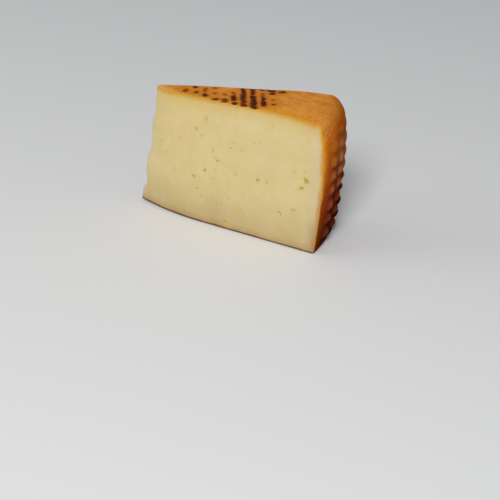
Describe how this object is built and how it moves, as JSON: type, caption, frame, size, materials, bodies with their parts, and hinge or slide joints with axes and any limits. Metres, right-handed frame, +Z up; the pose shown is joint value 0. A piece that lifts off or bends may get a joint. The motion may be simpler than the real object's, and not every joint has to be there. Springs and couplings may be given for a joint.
{
  "type": "smoked trappist cheese wedge",
  "caption": "Wedge cut from a round smoked semi-hard cheese: cream cut faces with small eyes, an amber rind and a net-marked side.",
  "frame": {"origin": "bottom centre of the wedge's bounding box, on the surface that it stands on", "axes": "+Z up, +X from the thin edge to the rind side, -Y out of the front cut face"},
  "size_m": [0.0942, 0.0364, 0.0604],
  "materials": {
    "cheese": "waxy, slightly moist semi-hard paste with a thin amber to brown smoked rind"
  },
  "bodies": {
    "root": {"cheese_wedge": "cheese"}
  },
  "joints": []
}
